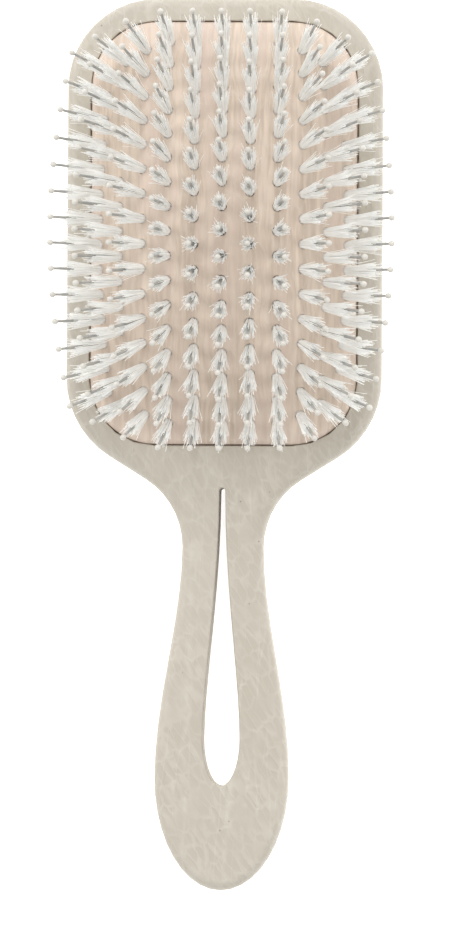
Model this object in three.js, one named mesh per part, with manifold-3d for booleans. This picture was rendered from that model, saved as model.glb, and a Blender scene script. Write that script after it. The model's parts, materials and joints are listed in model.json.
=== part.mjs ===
// Paddle hair brush: a flat cream body with a loop handle, a domed rubber cushion and ball-tipped pins.
// Millimetres. The brush lies on its back: pins up (+Z), head towards +Y, handle towards -Y.
import * as THREE from 'three';
import { mergeVertices } from 'three/addons/utils/BufferGeometryUtils.js';
import Module from 'manifold-3d';

const wasm = await Module();
wasm.setup();

// Body
const bodyLength = 245;
const bodyThickness = 12;
const edgeRound = 2.6;
const headWidth = 86.6;
const headTopCorner = 24.5;
const headLowerCorner = 25.5;
const headSideLength = 79.8;
const shoulderSlope = 32;
const neckWidth = 22.1;
const neckFillet = 21.8;
const handleWidth = 36.7;
const handleEndLength = 30.9;
const handleFlareStartShare = 0.32;
const handleFlareEndShare = 0.35;

// Loop through the handle
const loopTopBelowHead = 4.8;
const loopEndFromHandleEnd = 28.7;
const loopTopWidth = 1.6;
const loopWidth = 10.2;
const loopEndLength = 12.7;
const loopFlareStartShare = 0.41;
const loopFlareEndShare = 0.24;
const loopEdgeRound = 0.7;

// Recess in the head, with a lip that overhangs the cushion's flange
const recessFloor = 2.8;
const lipDepth = 2.4;
const grooveClearance = 0.6;

// Cushion
const rimWidth = 6.8;
const rimAtHeadEnd = 6.6;
const rimAtShoulder = 7.2;
const rimAtCorner = 6.7;
const cushionWall = 1.6;
const domeHeight = 12.4;
const domeAcrossPower = 2.5;
const cushionEdgeRise = 0.6;
const flangeReach = 2;
const flangeThickness = 1.6;
const cushionGap = 0.35;
const domeRings = [0.12, 0.36, 0.58, 0.76, 0.9];

// Ring on the floor of the recess, below the flange
const frameWidth = 4;
const frameThickness = 1.5;
const frameGap = 0.3;

// Pins
const columnsEachSide = 5;
const outerColumnMargin = 2.3;
const columnTightening = 0.13;
const columnBow = 0.14;
const endRowMargin = 5.7;
const rowTightening = 0.03;
const pinsPerColumn = [17, 16, 17, 16, 15, 14];
const columnReach = [1, 1, 1, 0.955, 0.89, 0.83];
const sideLean = 1.2;
const sideLeanPower = 3.5;
const sideLeanHalf = 0.3;
const sideLeanEase = 0.45;
const endLean = 0.59;
const endLeanEase = 0.34;
const pinLength = 20;
const pinRadius = 0.45;
const ballRadius = 0.95;
const ballLength = 2.3;
const ballWidestShare = 0.45;
const ballTopRadius = 0.55;
const holeClearance = 1.05;

// Strip under the rubber that joins the pins of one column
const stripWidth = 3;
const stripThickness = 1.2;
const stripGap = 0.9;
const stripOverhang = 1.6;

// Straight steps in each rounded stretch
const headCornerSteps = 10;
const shoulderSteps = 7;
const neckFilletSteps = 7;
const handleFlareSteps = 9;
const handleEndSteps = 10;
const edgeRoundSteps = 3;
const loopEndSteps = 7;
const loopFlareSteps = 9;
const loopTopSteps = 3;
const loopEdgeSteps = 2;
const cushionCornerSteps = 5;
const cushionLongSideSteps = 5;
const cushionShortSideSteps = 3;
const pinSides = 5;
const holeSides = 6;
const stripSteps = 8;

// How far a cutting tool runs past the face it cuts, and how near two points count as one
const cutOverrun = 1;
const samePoint = 0.01;

const halfLength = bodyLength / 2;
const headLength = headTopCorner + headSideLength + headLowerCorner;
const halfCushionWidth = headWidth / 2 - rimWidth;
const halfCushionLength = (headLength - rimAtHeadEnd - rimAtShoulder) / 2;
const cushionCorner = headTopCorner - rimAtCorner;
const cushionCentreY = halfLength - rimAtHeadEnd - halfCushionLength;
const grooveDepth = flangeReach + grooveClearance;
const holeRadius = pinRadius + holeClearance;
const degrees = Math.PI / 180;

// Turns a closed triangle geometry into a solid for adding and subtracting.
function toSolid(geometry) {
  const plain = new THREE.BufferGeometry();
  plain.setAttribute('position', geometry.getAttribute('position'));
  if (geometry.index) plain.setIndex(geometry.index);
  const merged = mergeVertices(plain, 1e-4);
  const mesh = new wasm.Mesh({
    numProp: 3,
    vertProperties: new Float32Array(merged.getAttribute('position').array),
    triVerts: new Uint32Array(merged.index.array),
  });
  return new wasm.Manifold(mesh);
}

function toGeometry(solid) {
  const mesh = solid.getMesh();
  const geometry = new THREE.BufferGeometry();
  geometry.setAttribute('position', new THREE.BufferAttribute(new Float32Array(mesh.vertProperties), 3));
  geometry.setIndex(new THREE.BufferAttribute(new Uint32Array(mesh.triVerts), 1));
  geometry.computeVertexNormals();
  return geometry;
}

// Skins a stack of rings that all have the same number of points, and closes both ends.
// Each ring runs anticlockwise seen from the side of the last ring.
function loft(rings) {
  const count = rings[0].length;
  const positions = rings.flat().flatMap((point) => [point.x, point.y, point.z]);
  const index = [];
  for (let ring = 0; ring + 1 < rings.length; ring++) {
    for (let step = 0; step < count; step++) {
      const next = (step + 1) % count;
      const low = ring * count;
      const high = low + count;
      index.push(low + step, low + next, high + next);
      index.push(low + step, high + next, high + step);
    }
  }
  [rings[0], rings[rings.length - 1]].forEach((ring, end) => {
    const centre = new THREE.Vector3();
    ring.forEach((point) => centre.addScaledVector(point, 1 / count));
    const centreIndex = positions.length / 3;
    positions.push(centre.x, centre.y, centre.z);
    const base = end ? (rings.length - 1) * count : 0;
    for (let step = 0; step < count; step++) {
      const next = (step + 1) % count;
      if (end) index.push(base + step, base + next, centreIndex);
      else index.push(base + next, base + step, centreIndex);
    }
  });
  const geometry = new THREE.BufferGeometry();
  geometry.setAttribute('position', new THREE.Float32BufferAttribute(positions, 3));
  geometry.setIndex(index);
  return geometry;
}

// Rounded rectangle around the cushion's centre, anticlockwise, at a height that may depend on place.
function cushionRing(scale, outward, height) {
  const corner = cushionCorner * scale + outward;
  const acrossX = halfCushionWidth * scale + outward - corner;
  const alongY = halfCushionLength * scale + outward - corner;
  const points = [];
  const addPoint = (x, y) => points.push(new THREE.Vector3(x, cushionCentreY + y, height(x, y)));
  const quarters = [[1, 1], [-1, 1], [-1, -1], [1, -1]];
  quarters.forEach(([sideX, sideY], quarter) => {
    for (let step = 0; step <= cushionCornerSteps; step++) {
      const angle = (quarter + step / cushionCornerSteps) * 90 * degrees;
      addPoint(sideX * acrossX + corner * Math.cos(angle), sideY * alongY + corner * Math.sin(angle));
    }
    const longSide = quarter % 2 === 1;
    const splits = longSide ? cushionLongSideSteps : cushionShortSideSteps;
    for (let step = 1; step < splits; step++) {
      const share = 1 - 2 * step / splits;
      if (longSide) addPoint(sideX * (acrossX + corner), sideY * alongY * share);
      else addPoint(sideX * acrossX * share, sideY * (alongY + corner));
    }
  });
  return points;
}

// Height of the cushion's surface over the lip, from the cushion's own centre.
function domeRise(x, y) {
  const across = Math.min(1, Math.abs(x) / halfCushionWidth);
  const along = Math.min(1, Math.abs(y) / halfCushionLength);
  return cushionEdgeRise + domeHeight * (1 - across ** domeAcrossPower) * (1 - along ** 2);
}

// Direction of a pin. Across the head the pins stay upright in the middle and lean out at the sides.
// Along it they fan out evenly, less so in the side columns, and less steeply towards the ends.
function pinDirection(x, y) {
  const across = Math.abs(x) / halfCushionWidth;
  const along = y / halfCushionLength;
  const spread = across ** sideLeanPower;
  const leanX = Math.sign(x) * sideLean * spread / (spread + sideLeanHalf) * (1 - sideLeanEase * along ** 2);
  const held = across ** domeAcrossPower * (1 - along ** 2);
  const leanY = endLean * along * (1 - endLeanEase * along ** 4) * (1 - held);
  return new THREE.Vector3(leanX, leanY, 1).normalize();
}

// Straight stretches and curves of one side of the body, mirrored for the other.
function bodyOutline() {
  const halfHead = headWidth / 2;
  const sideTop = halfLength - headTopCorner;
  const sideLow = sideTop - headSideLength;
  const turn = 90 - shoulderSlope;
  const halfNeck = neckWidth / 2;
  const halfHandle = handleWidth / 2;
  const lowerX = halfHead - headLowerCorner;
  const shoulderX = lowerX + headLowerCorner * Math.cos(turn * degrees);
  const shoulderY = sideLow - headLowerCorner * Math.sin(turn * degrees);
  const neckX = halfNeck + neckFillet;
  const filletX = neckX - neckFillet * Math.cos(turn * degrees);
  const filletY = shoulderY - (shoulderX - filletX) * Math.tan(shoulderSlope * degrees);
  const neckY = filletY - neckFillet * Math.sin(turn * degrees);
  const endY = handleEndLength - halfLength;

  const arc = (x, y, radiusX, radiusY, from, to, clockwise) =>
    new THREE.EllipseCurve(x, y, radiusX, radiusY, from * degrees, to * degrees, clockwise);
  const pieces = [
    [arc(halfHead - headTopCorner, sideTop, headTopCorner, headTopCorner, 90, 0, true), headCornerSteps],
    [new THREE.LineCurve(new THREE.Vector2(halfHead, sideTop), new THREE.Vector2(halfHead, sideLow)), 1],
    [arc(lowerX, sideLow, headLowerCorner, headLowerCorner, 0, -turn, true), shoulderSteps],
    [arc(neckX, neckY, neckFillet, neckFillet, 180 - turn, 180, false), neckFilletSteps],
    [new THREE.CubicBezierCurve(
      new THREE.Vector2(halfNeck, neckY),
      new THREE.Vector2(halfNeck, neckY - handleFlareStartShare * (neckY - endY)),
      new THREE.Vector2(halfHandle, endY + handleFlareEndShare * (neckY - endY)),
      new THREE.Vector2(halfHandle, endY),
    ), handleFlareSteps],
    [arc(0, endY, halfHandle, handleEndLength, 0, -90, true), handleEndSteps],
  ];
  const right = pieces.flatMap(([curve, steps]) => curve.getPoints(steps));
  const left = right.map((point) => new THREE.Vector2(-point.x, point.y)).reverse();
  const clean = [];
  right.concat(left).forEach((point) => {
    if (!clean.length || clean[clean.length - 1].distanceTo(point) > samePoint) clean.push(point);
  });
  if (clean[0].distanceTo(clean[clean.length - 1]) < samePoint) clean.pop();
  return clean;
}

// The teardrop of the handle loop, anticlockwise, grown outwards by a given amount.
function loopRing(grow, z) {
  const halfTop = loopTopWidth / 2;
  const halfWide = loopWidth / 2;
  const topY = halfLength - headLength - loopTopBelowHead - halfTop;
  const wideY = loopEndFromHandleEnd + loopEndLength - halfLength;
  const flare = new THREE.CubicBezierCurve(
    new THREE.Vector2(halfWide, wideY),
    new THREE.Vector2(halfWide, wideY + loopFlareEndShare * (topY - wideY)),
    new THREE.Vector2(halfTop, topY - loopFlareStartShare * (topY - wideY)),
    new THREE.Vector2(halfTop, topY),
  );
  const lower = new THREE.EllipseCurve(0, wideY, halfWide, loopEndLength, -90 * degrees, 0, false);
  const upper = new THREE.EllipseCurve(0, topY, halfTop, halfTop, 0, 90 * degrees, false);
  const right = lower.getPoints(loopEndSteps);
  right.push(...flare.getPoints(loopFlareSteps).slice(1));
  right.push(...upper.getPoints(loopTopSteps).slice(1));
  const left = right.slice(1, -1).map((point) => new THREE.Vector2(-point.x, point.y)).reverse();
  const outline = right.concat(left);
  return outline.map((point, place) => {
    const before = outline[(place + outline.length - 1) % outline.length];
    const after = outline[(place + 1) % outline.length];
    const along = after.clone().sub(before).normalize();
    return new THREE.Vector3(point.x + along.y * grow, point.y - along.x * grow, z);
  });
}

// A tool for the loop: straight inside, flaring out in a rounded edge at both faces.
function loopTool() {
  const roundings = [];
  for (let step = 0; step <= loopEdgeSteps; step++) {
    const angle = step / loopEdgeSteps * 90 * degrees;
    const grow = loopEdgeRound * (1 - Math.sin(angle));
    const depth = loopEdgeRound * (1 - Math.cos(angle));
    roundings.push({ grow, depth });
  }
  return toSolid(loft([
    loopRing(loopEdgeRound, -cutOverrun),
    ...roundings.map(({ grow, depth }) => loopRing(grow, depth)),
    ...roundings.map(({ grow, depth }) => loopRing(grow, bodyThickness - depth)).reverse(),
    loopRing(loopEdgeRound, bodyThickness + cutOverrun),
  ]));
}

// One moulding: head, waist and handle, with the loop and the stepped recess cut out.
function makeBody() {
  const blank = new THREE.ExtrudeGeometry(new THREE.Shape(bodyOutline()), {
    depth: bodyThickness - 2 * edgeRound,
    bevelEnabled: true,
    bevelThickness: edgeRound,
    bevelSize: edgeRound,
    bevelOffset: -edgeRound,
    bevelSegments: edgeRoundSteps,
    steps: 1,
  });
  blank.translate(0, 0, edgeRound);
  const lipUnderside = bodyThickness - lipDepth;
  const mouth = toSolid(loft([
    cushionRing(1, cushionGap, () => lipUnderside - cutOverrun),
    cushionRing(1, cushionGap, () => bodyThickness + cutOverrun),
  ]));
  const groove = toSolid(loft([
    cushionRing(1, grooveDepth, () => recessFloor),
    cushionRing(1, grooveDepth, () => lipUnderside),
  ]));
  return toGeometry(toSolid(blank).subtract(loopTool()).subtract(mouth.add(groove)));
}

// Plain ring that lies on the recess floor under the flange.
function makeFrame() {
  const low = recessFloor + frameGap;
  const high = low + frameThickness;
  const outer = grooveDepth - frameGap;
  const inner = outer - frameWidth;
  const ring = toSolid(loft([cushionRing(1, outer, () => low), cushionRing(1, outer, () => high)]));
  const opening = toSolid(loft([
    cushionRing(1, inner, () => low - cutOverrun),
    cushionRing(1, inner, () => high + cutOverrun),
  ]));
  return toGeometry(ring.subtract(opening));
}

// Spreads even shares from -1 to 1 so that they lie a little closer together towards the ends.
function tighten(share, amount) {
  return share * (1 + amount * (1 - share ** 2));
}

// Where a column's pin stands on the rubber at a given distance along it, and which way it points.
// The outer columns bow inwards towards their ends.
function pinAt(column, y) {
  const share = column / columnsEachSide;
  const bow = columnBow * share ** 2 * (y / halfCushionLength) ** 2;
  const x = tighten(share, columnTightening) * (halfCushionWidth - outerColumnMargin) * (1 - bow);
  const surface = new THREE.Vector3(x, cushionCentreY + y, bodyThickness + domeRise(x, y));
  return { surface, direction: pinDirection(x, y) };
}

// Distances of a column's pins from the cushion's middle. The side columns stop short of the corners.
function pinPlaces(column) {
  const count = pinsPerColumn[Math.abs(column)];
  const reach = columnReach[Math.abs(column)];
  const places = [];
  for (let place = 0; place < count; place++) {
    const share = reach * (2 * place / (count - 1) - 1);
    places.push(tighten(share, rowTightening) * (halfCushionLength - endRowMargin));
  }
  return places;
}

function pinColumn(column) {
  return pinPlaces(column).map((y) => pinAt(column, y));
}

// A round bar along a pin, given [distance above the rubber, radius] pairs.
function stackAlong(pin, profile, sides) {
  const turn = new THREE.Quaternion().setFromUnitVectors(new THREE.Vector3(0, 0, 1), pin.direction);
  const rings = profile.map(([distance, radius]) => {
    const ring = [];
    for (let side = 0; side < sides; side++) {
      const angle = side / sides * 360 * degrees;
      const offset = new THREE.Vector3(radius * Math.cos(angle), radius * Math.sin(angle), distance);
      ring.push(offset.applyQuaternion(turn).add(pin.surface));
    }
    return ring;
  });
  return toSolid(loft(rings));
}

// Domed membrane with a skirt, a flange and one hole for each pin.
function makeCushion() {
  const lip = bodyThickness - lipDepth;
  const flangeTop = lip - cushionGap;
  const flangeLow = flangeTop - flangeThickness;
  const top = (x, y) => bodyThickness + domeRise(x, y);
  const under = (x, y) => top(x, y) - cushionWall;
  const rings = [
    ...domeRings.map((scale) => cushionRing(scale, 0, under)),
    cushionRing(1, -cushionWall, under),
    cushionRing(1, -cushionWall, () => flangeLow),
    cushionRing(1, flangeReach, () => flangeLow),
    cushionRing(1, flangeReach, () => flangeTop),
    cushionRing(1, 0, () => flangeTop),
    cushionRing(1, 0, () => bodyThickness + cushionEdgeRise / 2),
    ...domeRings.map((scale) => cushionRing(scale, 0, top)).reverse(),
  ];
  const holes = [];
  for (let column = -columnsEachSide; column <= columnsEachSide; column++) {
    pinColumn(column).forEach((pin) => {
      holes.push(stackAlong(pin, [[-2 * cushionWall, holeRadius], [cushionWall, holeRadius]], holeSides));
    });
  }
  return toGeometry(toSolid(loft(rings)).subtract(wasm.Manifold.union(holes)));
}

// Thin strip that follows the underside of the cushion along one column.
function makeStrip(column) {
  const reach = pinPlaces(column).pop() + stripOverhang;
  const rings = [];
  for (let step = 0; step <= stripSteps; step++) {
    const pin = pinAt(column, reach * (1 - 2 * step / stripSteps));
    const lateral = new THREE.Vector3(pin.direction.z, 0, -pin.direction.x).normalize();
    const up = new THREE.Vector3(pin.direction.x, 0, pin.direction.z).normalize();
    const centre = pin.surface.clone().addScaledVector(up, -(cushionWall + stripGap + stripThickness / 2));
    const corners = [[1, -1], [1, 1], [-1, 1], [-1, -1]];
    rings.push(corners.map(([side, level]) => centre.clone()
      .addScaledVector(lateral, side * stripWidth / 2)
      .addScaledVector(up, level * stripThickness / 2)));
  }
  return toSolid(loft(rings));
}

// The ball-tipped pins of one column, standing on their strip.
function makePinRow(column) {
  const rootDepth = cushionWall + stripGap + stripThickness / 2;
  const ballBase = pinLength - ballLength;
  const profile = [
    [-rootDepth, pinRadius],
    [ballBase, pinRadius],
    [ballBase + ballWidestShare * ballLength, ballRadius],
    [pinLength, ballTopRadius],
  ];
  const bars = pinColumn(column).map((pin) => stackAlong(pin, profile, pinSides));
  return toGeometry(makeStrip(column).add(wasm.Manifold.union(bars)));
}

const cream = new THREE.MeshStandardMaterial({ color: 0xd9d0c3, roughness: 0.6, metalness: 0 });
const beigeRubber = new THREE.MeshStandardMaterial({ color: 0xcfbcaa, roughness: 0.75, metalness: 0 });
const greyNylon = new THREE.MeshStandardMaterial({ color: 0xd8d5ce, roughness: 0.35, metalness: 0 });

const group = new THREE.Group();

function addPiece(name, geometry, material) {
  const mesh = new THREE.Mesh(geometry, material.clone());
  mesh.name = name;
  group.add(mesh);
}

addPiece('paddle_body', makeBody(), cream);
addPiece('cushion_frame', makeFrame(), cream);
addPiece('cushion_pad', makeCushion(), beigeRubber);
for (let column = -columnsEachSide; column <= columnsEachSide; column++) {
  const number = String(column + columnsEachSide + 1).padStart(2, '0');
  addPiece(`pin_row_${number}`, makePinRow(column), greyNylon);
}

export default group;
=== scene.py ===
import json
import math
import random
import bmesh
import bpy
from mathutils import Matrix, Vector

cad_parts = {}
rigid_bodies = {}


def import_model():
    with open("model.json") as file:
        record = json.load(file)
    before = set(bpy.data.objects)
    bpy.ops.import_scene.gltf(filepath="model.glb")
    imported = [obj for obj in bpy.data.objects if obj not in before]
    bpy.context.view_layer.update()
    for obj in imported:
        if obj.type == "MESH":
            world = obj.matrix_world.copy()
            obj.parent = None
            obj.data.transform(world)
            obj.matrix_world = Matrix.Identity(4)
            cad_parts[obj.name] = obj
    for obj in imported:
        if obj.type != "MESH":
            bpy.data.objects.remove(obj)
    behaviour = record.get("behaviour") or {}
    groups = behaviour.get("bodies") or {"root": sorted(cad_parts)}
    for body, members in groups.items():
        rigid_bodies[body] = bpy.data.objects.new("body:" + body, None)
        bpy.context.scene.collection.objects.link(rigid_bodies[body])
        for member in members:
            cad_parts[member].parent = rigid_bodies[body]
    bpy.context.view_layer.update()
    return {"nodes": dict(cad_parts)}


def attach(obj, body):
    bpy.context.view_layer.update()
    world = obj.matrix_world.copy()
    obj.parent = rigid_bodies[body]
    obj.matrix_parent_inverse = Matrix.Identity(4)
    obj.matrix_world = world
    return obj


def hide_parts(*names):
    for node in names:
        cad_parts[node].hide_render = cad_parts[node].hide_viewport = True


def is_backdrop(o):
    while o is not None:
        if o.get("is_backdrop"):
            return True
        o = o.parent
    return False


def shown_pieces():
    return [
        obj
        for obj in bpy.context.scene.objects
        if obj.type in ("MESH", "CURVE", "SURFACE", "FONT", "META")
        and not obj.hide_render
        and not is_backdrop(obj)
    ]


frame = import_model()
mm = 0.001
print("frame loaded:", len(frame["nodes"]), "CAD nodes")


# selecting, editing and finishing a piece
def clearSelection():
    if bpy.context.object and bpy.context.object.mode != "OBJECT":
        bpy.ops.object.mode_set(mode="OBJECT")
    bpy.ops.object.select_all(action="DESELECT")


def makeActive(piece):
    clearSelection()
    piece.select_set(True)
    bpy.context.view_layer.objects.active = piece


def enterEdit(piece, selectAll=False):
    makeActive(piece)
    bpy.ops.object.mode_set(mode="EDIT")
    bpy.ops.mesh.select_all(action="SELECT" if selectAll else "DESELECT")


def leaveEdit():
    bpy.ops.object.mode_set(mode="OBJECT")


# selects vertices, edges or faces of the piece in edit mode by a test of their place
def pick(piece, kind, test):
    modes = {"verts": (True, False, False), "edges": (False, True, False), "faces": (False, False, True)}
    bpy.context.tool_settings.mesh_select_mode = modes[kind]
    bpy.ops.mesh.select_all(action="DESELECT")
    shape = bmesh.from_edit_mesh(piece.data)
    for part in getattr(shape, kind):
        if test(part):
            part.select_set(True)
    shape.select_flush_mode()
    bmesh.update_edit_mesh(piece.data)


def applyModifier(piece, kind, **settings):
    makeActive(piece)
    modifier = piece.modifiers.new(kind.title(), kind)
    for key, value in settings.items():
        setattr(modifier, key, value)
    bpy.ops.object.modifier_apply(modifier=modifier.name)


def cutAway(piece, cutter):
    applyModifier(piece, "BOOLEAN", operation="DIFFERENCE", object=cutter, solver="EXACT")
    bpy.data.objects.remove(cutter)


def placeTransform(piece):
    makeActive(piece)
    bpy.ops.object.transform_apply(location=True, rotation=True, scale=True)


# one closed outline of a CAD node, cut at a height, kept where it passes nearest a place
def nodeOutline(node, height, near, name):
    piece = bpy.data.objects.new(name, frame["nodes"][node].data.copy())
    bpy.context.scene.collection.objects.link(piece)
    piece.data.materials.clear()
    enterEdit(piece, selectAll=True)
    bpy.ops.mesh.remove_doubles(threshold=0.01 * mm)
    bpy.ops.mesh.bisect(plane_co=(0, 0, height), plane_no=(0, 0, 1), clear_inner=True, clear_outer=True)
    shape = bmesh.from_edit_mesh(piece.data)
    nearest = min(shape.verts, key=lambda corner: (corner.co - Vector(near)).length)
    place = nearest.co.copy()
    pick(piece, "verts", lambda corner: (corner.co - place).length < 0.001 * mm)
    bpy.ops.mesh.select_linked()
    bpy.ops.mesh.select_all(action="INVERT")
    bpy.ops.mesh.delete(type="VERT")
    bpy.ops.mesh.select_all(action="SELECT")
    bpy.ops.mesh.remove_doubles(threshold=0.01 * mm)
    bpy.ops.mesh.dissolve_limited(angle_limit=math.radians(0.4))
    bpy.ops.mesh.select_all(action="SELECT")
    bpy.ops.mesh.edge_face_add()
    leaveEdit()
    return piece


# turns a flat outline into a slab between two heights
def raiseSlab(piece, height, low, high):
    enterEdit(piece, selectAll=True)
    bpy.ops.transform.translate(value=(0, 0, low - height))
    bpy.ops.mesh.extrude_region_move(TRANSFORM_OT_translate={"value": (0, 0, high - low)})
    bpy.ops.mesh.select_all(action="SELECT")
    bpy.ops.mesh.normals_make_consistent(inside=False)
    leaveEdit()


# extrudes a circle from ring to ring and closes both ends; the rings all have the same number of points
def skinRings(name, rings):
    count = len(rings[0])
    clearSelection()
    bpy.ops.mesh.primitive_circle_add(vertices=count, radius=1)
    piece = bpy.context.object
    piece.name = name
    bpy.ops.object.mode_set(mode="EDIT")
    bpy.ops.mesh.select_all(action="SELECT")
    shape = bmesh.from_edit_mesh(piece.data)
    order = shape.verts.layers.int.new("order")
    for corner in shape.verts:
        corner[order] = round(math.atan2(corner.co.y, corner.co.x) / (2 * math.pi) * count) % count
    for ring in rings:
        if ring is not rings[0]:
            bpy.ops.mesh.extrude_edges_move()
            shape = bmesh.from_edit_mesh(piece.data)
            order = shape.verts.layers.int["order"]
        for corner in shape.verts:
            if corner.select:
                corner.co = ring[corner[order]]
        bmesh.update_edit_mesh(piece.data)
    bpy.ops.mesh.select_all(action="SELECT")
    bpy.ops.mesh.fill_holes(sides=0)
    bpy.ops.mesh.select_all(action="SELECT")
    bpy.ops.mesh.normals_make_consistent(inside=False)
    leaveEdit()
    return piece


# a transformed copy with its own mesh
def stamp(source, matrix):
    piece = source.copy()
    piece.data = source.data.copy()
    piece.data.transform(matrix)
    bpy.context.scene.collection.objects.link(piece)
    return piece


def joinPieces(parts, name):
    clearSelection()
    for part in parts:
        part.select_set(True)
    bpy.context.view_layer.objects.active = parts[0]
    if len(parts) > 1:
        bpy.ops.object.join()
    joined = bpy.context.object
    joined.name = name
    joined.data.name = name
    return joined


# a socket that takes part in sums
class Wire:
    def __init__(self, finish, socket):
        self.finish = finish
        self.socket = socket

    def maths(self, operation, first, second):
        return self.finish.add("ShaderNodeMath", {"operation": operation}, {0: first, 1: second})

    def __add__(self, other):
        return self.maths("ADD", self, other)

    def __radd__(self, other):
        return self.maths("ADD", other, self)

    def __sub__(self, other):
        return self.maths("SUBTRACT", self, other)

    def __rsub__(self, other):
        return self.maths("SUBTRACT", other, self)

    def __mul__(self, other):
        return self.maths("MULTIPLY", self, other)

    def __rmul__(self, other):
        return self.maths("MULTIPLY", other, self)

    def over(self, edge):
        return self.maths("GREATER_THAN", self, edge)

    # 0 below low, 1 above high, smooth between
    def ramp(self, low, high):
        settings = {"interpolation_type": "SMOOTHSTEP"}
        values = {"Value": self, "From Min": low, "From Max": high}
        return self.finish.add("ShaderNodeMapRange", settings, values)


class Finish:
    def __init__(self, name, **constants):
        self.material = bpy.data.materials.new(name)
        self.material.use_nodes = True
        self.tree = self.material.node_tree
        self.shader = self.tree.nodes["Principled BSDF"]
        for key, value in constants.items():
            self.shader.inputs[key.replace("_", " ")].default_value = value

    def add(self, kind, settings=None, values=None, output=0):
        made = self.tree.nodes.new(kind)
        for key, value in (settings or {}).items():
            setattr(made, key, value)
        for key, value in (values or {}).items():
            if isinstance(value, Wire):
                self.tree.links.new(value.socket, made.inputs[key])
            else:
                made.inputs[key].default_value = value
        return Wire(self, made.outputs[output])

    def feed(self, socket, wire):
        self.tree.links.new(wire.socket, self.shader.inputs[socket])

    def place(self):
        return self.add("ShaderNodeTexCoord", output="Object")

    def mapped(self, place, scale, turn=0.0):
        values = {"Vector": place, "Scale": scale, "Rotation": (0, 0, math.radians(turn))}
        return self.add("ShaderNodeMapping", {}, values)

    def noise(self, place, scale, detail=3.0, roughness=0.5, output="Fac"):
        values = {"Vector": place, "Scale": scale, "Detail": detail, "Roughness": roughness}
        return self.add("ShaderNodeTexNoise", {}, values, output)

    # shifts a place by noise, so that straight patterns turn wavy
    def wavy(self, place, scale, amount):
        colour = self.noise(place, scale, 2.0, 0.5, "Color")
        centred = self.add("ShaderNodeVectorMath", {"operation": "SUBTRACT"}, {0: colour, 1: (0.5, 0.5, 0.5)})
        scaled = self.add("ShaderNodeVectorMath", {"operation": "SCALE"}, {0: centred, "Scale": amount})
        return self.add("ShaderNodeVectorMath", {"operation": "ADD"}, {0: place, 1: scaled})

    # a place scaled so that a pattern of unit size gets cells of this size
    def stretched(self, place, cell):
        return self.mapped(place, [1 / side for side in cell])

    # thin lines along the borders of stretched cells
    def netLines(self, place, cell, turn, width, randomness):
        turned = self.mapped(place, (1, 1, 1), turn)
        values = {"Vector": self.stretched(turned, cell), "Scale": 1.0, "Randomness": randomness}
        edge = self.add("ShaderNodeTexVoronoi", {"feature": "DISTANCE_TO_EDGE"}, values)
        return 1 - edge.ramp(0.0, width)

    # sparse small round spots
    def specks(self, place, pitch, size, share):
        values = {"Vector": place, "Scale": 1 / pitch, "Randomness": 1.0}
        spot = self.add("ShaderNodeTexVoronoi", {"feature": "F1"}, values)
        chance = self.add("ShaderNodeSeparateColor", {}, {0: Wire(self, spot.socket.node.outputs["Color"])})
        return (1 - spot.ramp(0.5 * size / pitch, size / pitch)) * chance.over(1 - share)

    # a colour mix; 6 and 7 are the node's colour inputs and 2 its colour output
    def mix(self, factor, first, second):
        values = {0: factor, 6: first, 7: second}
        return self.add("ShaderNodeMix", {"data_type": "RGBA"}, values, 2)

    def bump(self, height, depth, strength):
        values = {"Height": height, "Distance": depth, "Strength": strength}
        self.feed("Normal", self.add("ShaderNodeBump", {}, values))


# cream moulded plastic with a low embossed leaf-vein net and a few dark flecks
def makeCreamPlastic(name):
    look = {
        "cream": (0.535, 0.493, 0.42, 1), "paler": (0.68, 0.64, 0.565, 1), "dusk": (0.51, 0.465, 0.388, 1),
        "fleck": (0.24, 0.19, 0.14, 1), "leafCell": (2.1 * mm, 6.4 * mm, 3.2 * mm), "leafTurn": -31,
        "stemCell": (3.4 * mm, 70 * mm, 12 * mm), "veinDepth": 0.13 * mm, "grainDepth": 0.025 * mm,
    }
    finish = Finish(name, Roughness=0.5, Specular_IOR_Level=0.4)
    place = finish.place()
    bent = finish.wavy(place, 1 / (8 * mm), 1.8 * mm)
    leaves = finish.netLines(bent, look["leafCell"], look["leafTurn"], 0.13, 0.45)
    stems = finish.netLines(bent, look["stemCell"], 3, 0.05, 0.6)
    patchy = finish.noise(place, 1 / (7 * mm), 3.0, 0.6)
    mottle = finish.noise(place, 1 / (22 * mm), 4.0, 0.6)
    grain = finish.noise(place, 1 / (0.45 * mm), 3.0, 0.6)
    flecks = finish.specks(place, 2.6 * mm, 0.34 * mm, 0.10)
    veins = (leaves * 0.8 + stems * 0.6) * (0.35 + 0.65 * patchy.ramp(0.35, 0.65))
    colour = finish.mix(mottle.ramp(0.35, 0.68), look["cream"], look["dusk"])
    colour = finish.mix(veins * 0.42, colour, look["paler"])
    colour = finish.mix(flecks * 0.7, colour, look["fleck"])
    finish.feed("Base Color", colour)
    finish.feed("Roughness", 0.44 + 0.14 * grain + 0.06 * mottle)
    finish.bump(veins + grain * (look["grainDepth"] / look["veinDepth"]), look["veinDepth"], 0.75)
    return finish.material


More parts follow.
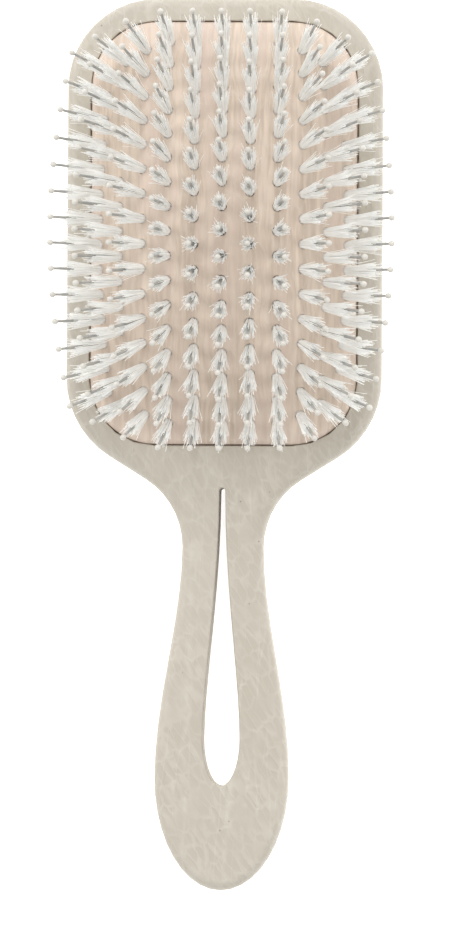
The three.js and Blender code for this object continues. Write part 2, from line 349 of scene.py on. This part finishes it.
# matte beige rubber with a wavy lengthwise grain
def makeBeigeRubber(name):
    look = {
        "beige": (0.79, 0.66, 0.55, 1), "pinker": (0.73, 0.595, 0.51, 1), "darker": (0.63, 0.515, 0.42, 1),
        "paler": (0.71, 0.63, 0.54, 1), "cell": (3.3 * mm, 11 * mm, 11 * mm), "depth": 0.1 * mm,
        "strand": (1.3 * mm, 15 * mm, 15 * mm), "band": (5 * mm, 40 * mm, 40 * mm),
    }
    finish = Finish(name, Roughness=0.62, Specular_IOR_Level=0.35)
    place = finish.place()
    bent = finish.wavy(place, 1 / (16 * mm), 3.5 * mm)
    net = finish.netLines(bent, look["cell"], 0, 0.11, 0.85)
    strands = finish.noise(finish.stretched(bent, look["strand"]), 1.0, 3.0, 0.55)
    bands = finish.noise(finish.stretched(bent, look["band"]), 1.0, 2.0, 0.5)
    grain = finish.noise(place, 1 / (0.4 * mm), 2.0, 0.6)
    colour = finish.mix(strands.ramp(0.36, 0.66), look["beige"], look["darker"])
    colour = finish.mix(bands.ramp(0.42, 0.66) * 0.7, colour, look["pinker"])
    colour = finish.mix(net * 0.35, colour, look["paler"])
    finish.feed("Base Color", colour)
    finish.feed("Roughness", 0.55 + 0.18 * grain)
    finish.bump(net * 0.7 + strands * 0.5 + grain * 0.2, look["depth"], 0.7)
    return finish.material


# grey of the shafts: clear nylon plus painted shade of the thin rods; off-white nylon of the balls, white
# nylon of the bristles
def makeNylon(name, colour, shade, roughness, **constants):
    finish = Finish(name, **constants)
    place = finish.place()
    cloud = finish.noise(place, 1 / (3 * mm), 3.0, 0.55)
    scuff = finish.noise(place, 1 / (0.35 * mm), 2.0, 0.6)
    finish.feed("Base Color", finish.mix(cloud.ramp(0.35, 0.65), colour, shade))
    finish.feed("Roughness", roughness + 0.15 * scuff)
    finish.bump(scuff, 0.02 * mm, 0.5)
    return finish.material


creamPlastic = makeCreamPlastic("creamPlastic")
beigeRubber = makeBeigeRubber("beigeRubber")
# the shafts' grey is partly their clear nylon and partly painted shade of the thin rods
shaftNylon = makeNylon("shaftNylon", (0.42, 0.41, 0.38, 1), (0.33, 0.325, 0.31, 1), 0.28)
ballNylon = makeNylon("ballNylon", (0.70, 0.675, 0.62, 1), (0.64, 0.615, 0.56, 1), 0.22)
# the faint glow stands for light held in the clear hairs
bristleNylon = makeNylon("bristleNylon", (0.95, 0.95, 0.93, 1), (0.88, 0.88, 0.86, 1), 0.3,
                         Emission_Color=(1, 0.99, 0.96, 1), Emission_Strength=0.1)
print("finishes made")


# the cushion's outline and dome, and where the pins stand on it
layout = {
    "rubberTop": 12 * mm, "centreY": 57.9 * mm,
    "halfWidth": 36.5 * mm, "halfLength": 58 * mm, "corner": 17.8 * mm,
    "domeHeight": 12.4 * mm, "edgeRise": 0.6 * mm, "acrossPower": 2.5,
    "outerColumn": 34.2 * mm, "columnTightening": 0.13, "columnBow": 0.14,
    "endRow": 52.3 * mm, "rowTightening": 0.03,
    "pinsPerColumn": [17, 16, 17, 16, 15, 14], "columnReach": [1, 1, 1, 0.955, 0.89, 0.83],
    "sideLean": 1.2, "sideLeanPower": 3.5, "sideLeanHalf": 0.3, "sideLeanEase": 0.45,
    "endLean": 0.59, "endLeanEase": 0.34,
}
outermost = len(layout["pinsPerColumn"]) - 1


def domeRise(x, y):
    across = min(1, abs(x) / layout["halfWidth"])
    along = min(1, abs(y) / layout["halfLength"])
    crown = (1 - across ** layout["acrossPower"]) * (1 - along ** 2)
    return layout["edgeRise"] + layout["domeHeight"] * crown


# upright in the middle, leaning out at the sides, fanned along the head
def pinDirection(x, y):
    across = abs(x) / layout["halfWidth"]
    along = y / layout["halfLength"]
    spread = across ** layout["sideLeanPower"]
    side = layout["sideLean"] * spread / (spread + layout["sideLeanHalf"])
    leanX = math.copysign(side, x) * (1 - layout["sideLeanEase"] * along ** 2)
    held = across ** layout["acrossPower"] * (1 - along ** 2)
    leanY = layout["endLean"] * along * (1 - layout["endLeanEase"] * along ** 4) * (1 - held)
    return Vector((leanX, leanY, 1)).normalized()


# even shares from -1 to 1, drawn a little closer together towards the ends
def tighten(share, amount):
    return share * (1 + amount * (1 - share ** 2))


# the matrix that carries a piece modelled at the origin, pointing up, to one pin's place on the rubber
def pinMatrices(column):
    count = layout["pinsPerColumn"][abs(column)]
    reach = layout["columnReach"][abs(column)]
    side = column / outermost
    matrices = []
    for place in range(count):
        y = tighten(reach * (2 * place / (count - 1) - 1), layout["rowTightening"]) * layout["endRow"]
        bow = layout["columnBow"] * side ** 2 * (y / layout["halfLength"]) ** 2
        x = tighten(side, layout["columnTightening"]) * layout["outerColumn"] * (1 - bow)
        lean = Vector((0, 0, 1)).rotation_difference(pinDirection(x, y)).to_matrix().to_4x4()
        spot = Vector((x, layout["centreY"] + y, layout["rubberTop"] + domeRise(x, y)))
        matrices.append(Matrix.Translation(spot) @ lean)
    return matrices


columns = range(-outermost, outermost + 1)


# the one-piece body with its loop and recess
paddle = {
    "thickness": 12 * mm, "edgeRound": 2.6 * mm, "edgeSteps": 8, "midHeight": 6.5 * mm,
    "lipHeight": 10.8 * mm, "lipUnderside": 9.6 * mm, "recessFloor": 2.8 * mm,
    "cutRound": 0.5 * mm, "cutRoundSteps": 3, "overrun": 2 * mm,
    "headEnd": (0, 122.5 * mm, 6.5 * mm), "loopEnd": (0, -93.8 * mm, 6.5 * mm),
    "grooveEnd": (0, 118.5 * mm, 6.5 * mm), "mouthEnd": (0, 116.2 * mm, 10.8 * mm),
}


def buildPaddle():
    body = nodeOutline("paddle_body", paddle["midHeight"], paddle["headEnd"], "paddleBody")
    raiseSlab(body, paddle["midHeight"], 0, paddle["thickness"])
    enterEdit(body)
    levels = (0, paddle["thickness"])
    pick(body, "edges", lambda edge: abs(edge.verts[0].co.z - edge.verts[1].co.z) < 0.01 * mm
         and min(abs(edge.verts[0].co.z - level) for level in levels) < 0.01 * mm)
    bpy.ops.mesh.bevel(offset=paddle["edgeRound"], segments=paddle["edgeSteps"], profile=0.5, affect="EDGES")
    leaveEdit()
    loop = nodeOutline("paddle_body", paddle["midHeight"], paddle["loopEnd"], "loopCutter")
    raiseSlab(loop, paddle["midHeight"], -paddle["overrun"], paddle["thickness"] + paddle["overrun"])
    cutAway(body, loop)
    groove = nodeOutline("paddle_body", paddle["midHeight"], paddle["grooveEnd"], "grooveCutter")
    raiseSlab(groove, paddle["midHeight"], paddle["recessFloor"], paddle["lipUnderside"])
    cutAway(body, groove)
    mouth = nodeOutline("paddle_body", paddle["lipHeight"], paddle["mouthEnd"], "mouthCutter")
    low = paddle["lipUnderside"] - paddle["overrun"] / 2
    raiseSlab(mouth, paddle["lipHeight"], low, paddle["thickness"] + paddle["overrun"])
    cutAway(body, mouth)
    applyModifier(body, "BEVEL", limit_method="ANGLE", angle_limit=math.radians(60),
                  width=paddle["cutRound"], segments=paddle["cutRoundSteps"])
    makeActive(body)
    bpy.ops.object.shade_smooth()
    applyModifier(body, "WEIGHTED_NORMAL", weight=80)
    return body


paddleBody = buildPaddle()
paddleBody.data.materials.append(creamPlastic)
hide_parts("paddle_body")
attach(paddleBody, "brush_body")
print("paddle body:", len(paddleBody.data.polygons), "faces")

frameNode = frame["nodes"]["cushion_frame"]
frameNode.data.materials.clear()
frameNode.data.materials.append(creamPlastic)


# the domed rubber with its skirt, flange and holes
cushion = {
    "wall": 1.6 * mm, "flangeTop": 9.25 * mm, "flangeLow": 7.65 * mm, "flangeReach": 2.0 * mm,
    "cornerSteps": 14, "longSteps": 34, "shortSteps": 18, "domeSteps": 22, "underSteps": 10,
    "edgeDrop": 0.5 * mm, "edgeLift": 0.2 * mm, "edgeInset": 0.15 * mm,
    "holeRadius": 1.4 * mm, "holeSides": 14, "punchLength": 7 * mm,
}


# a rounded rectangle on the cushion's own centre, scaled and grown, at a height that may depend on place
def cushionRing(scale, grow, height):
    corner = layout["corner"] * scale + grow
    acrossX = layout["halfWidth"] * scale + grow - corner
    alongY = layout["halfLength"] * scale + grow - corner
    ring = []

    def addPoint(x, y):
        ring.append(Vector((x, layout["centreY"] + y, height(x, y))))

    for quarter, (sideX, sideY) in enumerate(((1, 1), (-1, 1), (-1, -1), (1, -1))):
        for step in range(cushion["cornerSteps"] + 1):
            angle = (quarter + step / cushion["cornerSteps"]) * math.pi / 2
            addPoint(sideX * acrossX + corner * math.cos(angle), sideY * alongY + corner * math.sin(angle))
        longSide = quarter % 2 == 1
        splits = cushion["longSteps"] if longSide else cushion["shortSteps"]
        for step in range(1, splits):
            share = 1 - 2 * step / splits
            if longSide:
                addPoint(sideX * (acrossX + corner), sideY * alongY * share)
            else:
                addPoint(sideX * acrossX * share, sideY * (alongY + corner))
    return ring


def buildCushion():
    def top(x, y):
        return layout["rubberTop"] + domeRise(x, y)

    def under(x, y):
        return top(x, y) - cushion["wall"]

    def flat(height):
        return lambda x, y: height

    def spread(steps):
        return [math.sin((step + 0.4) / (steps + 0.4) * math.pi / 2) * 0.985 for step in range(steps)]

    rings = [cushionRing(scale, 0, under) for scale in spread(cushion["underSteps"]) if scale < 0.95]
    rings.append(cushionRing(1, -cushion["wall"], under))
    rings.append(cushionRing(1, -cushion["wall"], flat(cushion["flangeLow"])))
    rings.append(cushionRing(1, cushion["flangeReach"], flat(cushion["flangeLow"])))
    rings.append(cushionRing(1, cushion["flangeReach"], flat(cushion["flangeTop"])))
    rings.append(cushionRing(1, 0, flat(cushion["flangeTop"])))
    rings.append(cushionRing(1, 0, flat(layout["rubberTop"] - cushion["edgeDrop"])))
    rings.append(cushionRing(1, -cushion["edgeInset"], flat(layout["rubberTop"] + cushion["edgeLift"])))
    rings += [cushionRing(scale, 0, top) for scale in reversed(spread(cushion["domeSteps"]))]
    pad = skinRings("cushionPad", rings)

    clearSelection()
    bpy.ops.mesh.primitive_cylinder_add(vertices=cushion["holeSides"], radius=cushion["holeRadius"],
                                        depth=cushion["punchLength"])
    punch = bpy.context.object
    punches = [stamp(punch, matrix) for column in columns for matrix in pinMatrices(column)]
    bpy.data.objects.remove(punch)
    cutAway(pad, joinPieces(punches, "holePunches"))
    makeActive(pad)
    bpy.ops.object.shade_smooth_by_angle(angle=math.radians(40))
    return pad


cushionPad = buildCushion()
cushionPad.data.materials.append(beigeRubber)
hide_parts("cushion_pad")
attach(cushionPad, "cushion")
print("cushion:", len(cushionPad.data.polygons), "faces")


# ball-tipped pins, each in a tuft of bristles
pin = {
    "length": 20 * mm, "rootDepth": 3.4 * mm, "rootRadius": 0.46 * mm, "neckRadius": 0.36 * mm,
    "ballRadius": 0.86 * mm, "ballStretch": 1.16, "sides": 7, "ballSides": 9, "ballRings": 6,
}
tuft = {
    "kinds": 6, "hairs": 84, "strays": 4, "rootDepth": 1.4 * mm, "rootRadius": 1.1 * mm,
    "flare": 1.42, "flareSpread": (-0.22, 0.3),
    "length": 12.6 * mm, "lengthSpread": 1.7 * mm, "strayLength": 14.5 * mm, "strayFlare": 2.2,
    "hairRadius": 0.115 * mm, "bends": (0, 0.35 * mm, 0.8 * mm), "seed": 41,
}
goldenTurn = math.radians(137.5)


def buildShaft():
    clearSelection()
    depth = pin["length"] - pin["ballRadius"] + pin["rootDepth"]
    middle = (pin["length"] - pin["ballRadius"] - pin["rootDepth"]) / 2
    bpy.ops.mesh.primitive_cylinder_add(vertices=pin["sides"], radius=pin["rootRadius"], depth=depth,
                                        location=(0, 0, middle))
    shaft = bpy.context.object
    placeTransform(shaft)
    enterEdit(shaft)
    pick(shaft, "verts", lambda corner: corner.co.z > 0)
    taper = pin["neckRadius"] / pin["rootRadius"]
    bpy.ops.transform.resize(value=(taper, taper, 1), center_override=(0, 0, 0))
    leaveEdit()
    makeActive(shaft)
    bpy.ops.object.shade_smooth_by_angle(angle=math.radians(60))
    return shaft


def buildBall():
    clearSelection()
    height = pin["length"] - pin["ballRadius"] * pin["ballStretch"]
    bpy.ops.mesh.primitive_uv_sphere_add(segments=pin["ballSides"], ring_count=pin["ballRings"],
                                         radius=pin["ballRadius"], location=(0, 0, height))
    ball = bpy.context.object
    ball.scale = (1, 1, pin["ballStretch"])
    placeTransform(ball)
    makeActive(ball)
    bpy.ops.object.shade_smooth()
    return ball


# one hair of unit length: a thin three-sided rod that curves to +X and thins towards its tip
def buildHair(bend):
    clearSelection()
    bpy.ops.mesh.primitive_cylinder_add(vertices=3, radius=tuft["hairRadius"], depth=1, location=(0, 0, 0.5))
    hair = bpy.context.object
    placeTransform(hair)
    enterEdit(hair, selectAll=True)
    bpy.ops.mesh.bisect(plane_co=(0, 0, 0.55), plane_no=(0, 0, 1))
    for height, share in ((0.55, 0.3), (1, 1)):
        pick(hair, "verts", lambda corner: abs(corner.co.z - height) < 0.01)
        bpy.ops.transform.resize(value=(1 - 0.3 * share, 1 - 0.3 * share, 1), center_override=(0, 0, 0))
        bpy.ops.transform.translate(value=(bend * share, 0, 0))
    leaveEdit()
    return hair


def buildTuft(draw, hairs):
    stamps = []
    for place in range(tuft["hairs"] + tuft["strays"]):
        stray = place >= tuft["hairs"]
        angle = place * goldenTurn + draw.uniform(-0.2, 0.2)
        share = 1 if stray else math.sqrt((place + 0.5) / tuft["hairs"])
        radius = pin["rootRadius"] + (tuft["rootRadius"] - pin["rootRadius"]) * share
        out = Vector((math.cos(angle), math.sin(angle), 0))
        flare = tuft["strayFlare"] if stray else tuft["flare"]
        flare += draw.uniform(*tuft["flareSpread"])
        length = tuft["strayLength"] if stray else tuft["length"]
        length += draw.uniform(-1, 1) * tuft["lengthSpread"]
        root = out * radius + Vector((0, 0, -tuft["rootDepth"]))
        tip = out * radius * flare + Vector((0, 0, length))
        lean = Vector((0, 0, 1)).rotation_difference(tip - root).to_matrix().to_4x4()
        turn = Matrix.Rotation(angle + draw.uniform(-0.9, 0.9), 4, "Z")
        stretch = Matrix.Diagonal((1, 1, (tip - root).length, 1))
        stamps.append(stamp(draw.choice(hairs), Matrix.Translation(root) @ lean @ turn @ stretch))
    return joinPieces(stamps, "tuft")


def buildPinsAndBristles():
    draw = random.Random(tuft["seed"])
    shaft, ball = buildShaft(), buildBall()
    hairs = [buildHair(bend) for bend in tuft["bends"]]
    tufts = [buildTuft(draw, hairs) for kind in range(tuft["kinds"])]
    for column in columns:
        number = f"{column + outermost + 1:02d}"
        matrices = pinMatrices(column)
        shafts = joinPieces([stamp(shaft, matrix) for matrix in matrices], f"pinShafts_{number}")
        balls = joinPieces([stamp(ball, matrix) for matrix in matrices], f"pinBalls_{number}")
        stamps = []
        for matrix in matrices:
            spin = Matrix.Rotation(draw.uniform(0, 2 * math.pi), 4, "Z")
            stamps.append(stamp(draw.choice(tufts), matrix @ spin))
        bristles = joinPieces(stamps, f"bristles_{number}")
        for piece, material in ((shafts, shaftNylon), (balls, ballNylon), (bristles, bristleNylon)):
            piece.data.materials.clear()
            piece.data.materials.append(material)
            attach(piece, f"row_{number}")
        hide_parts(f"pin_row_{number}")
        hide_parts(f"pin_row_{number}")
        print("column", number, "pins", len(matrices), "bristle faces", len(bristles.data.polygons))
    for model in [shaft, ball] + hairs + tufts:
        bpy.data.objects.remove(model)


buildPinsAndBristles()


# a white floor, three soft lamps, and a long lens tilted a little
studio = {
    "floor": (0.9, 0.9, 0.9, 1), "floorGlow": 0.75, "floorSize": 6, "world": 0.66,
    "cameraReach": 2400 * mm, "lens": 331.8, "target": (0.5 * mm, -8.3 * mm, 8 * mm),
    "sideTilt": 3.0, "endTilt": 1.2, "roll": 0.36, "lampTarget": (0, 0.02, 0.02),
    "lamps": (
        {"name": "softboxHead", "spot": (0.2, 2.7, 2.2), "size": 1.6, "power": 46.0},
        {"name": "softboxLeft", "spot": (-2.2, 0.4, 2.2), "size": 1.6, "power": 26.0},
        {"name": "softboxRight", "spot": (2.3, -0.3, 2.2), "size": 1.6, "power": 18.0},
    ),
}


# looks from the spot at the target with the head of the brush upwards
def aim(holder, spot, target):
    back = (Vector(spot) - Vector(target)).normalized()
    right = Vector((0, 1, 0)).cross(back).normalized()
    holder.location = spot
    holder.rotation_euler = Matrix((right, back.cross(right), back)).transposed().to_euler()


def buildStudio():
    clearSelection()
    bpy.ops.mesh.primitive_plane_add(size=studio["floorSize"], location=(0, 0, -0.2 * mm))
    floor = bpy.context.object
    floor.name = "floor"
    paper = Finish("floorPaper", Roughness=0.9, Base_Color=studio["floor"],
                   Emission_Color=(1, 1, 1, 1), Emission_Strength=studio["floorGlow"])
    floor.data.materials.append(paper.material)
    floor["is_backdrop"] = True
    world = bpy.data.worlds.new("studio")
    bpy.context.scene.world = world
    world.use_nodes = True
    world.node_tree.nodes["Background"].inputs["Color"].default_value = (1, 1, 1, 1)
    world.node_tree.nodes["Background"].inputs["Strength"].default_value = studio["world"]
    for lamp in studio["lamps"]:
        light = bpy.data.lights.new(lamp["name"], "AREA")
        light.size = lamp["size"]
        light.energy = lamp["power"]
        holder = bpy.data.objects.new(lamp["name"], light)
        bpy.context.scene.collection.objects.link(holder)
        aim(holder, lamp["spot"], studio["lampTarget"])
    camera = bpy.data.objects.new("camera", bpy.data.cameras.new("camera"))
    bpy.context.scene.collection.objects.link(camera)
    sideways = math.tan(math.radians(studio["sideTilt"])) * studio["cameraReach"]
    endways = math.tan(math.radians(studio["endTilt"])) * studio["cameraReach"]
    spot = Vector(studio["target"]) + Vector((sideways, -endways, studio["cameraReach"]))
    aim(camera, spot, studio["target"])
    camera.rotation_euler.rotate_axis("Z", math.radians(studio["roll"]))
    camera.data.lens = studio["lens"]
    camera.data.clip_start = 0.01
    bpy.context.scene.camera = camera
    bpy.context.scene.view_settings.view_transform = "Standard"


buildStudio()
print("studio ready")

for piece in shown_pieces():
    if len(piece.data.polygons) == 0:
        raise ValueError(f"{piece.name} is empty")
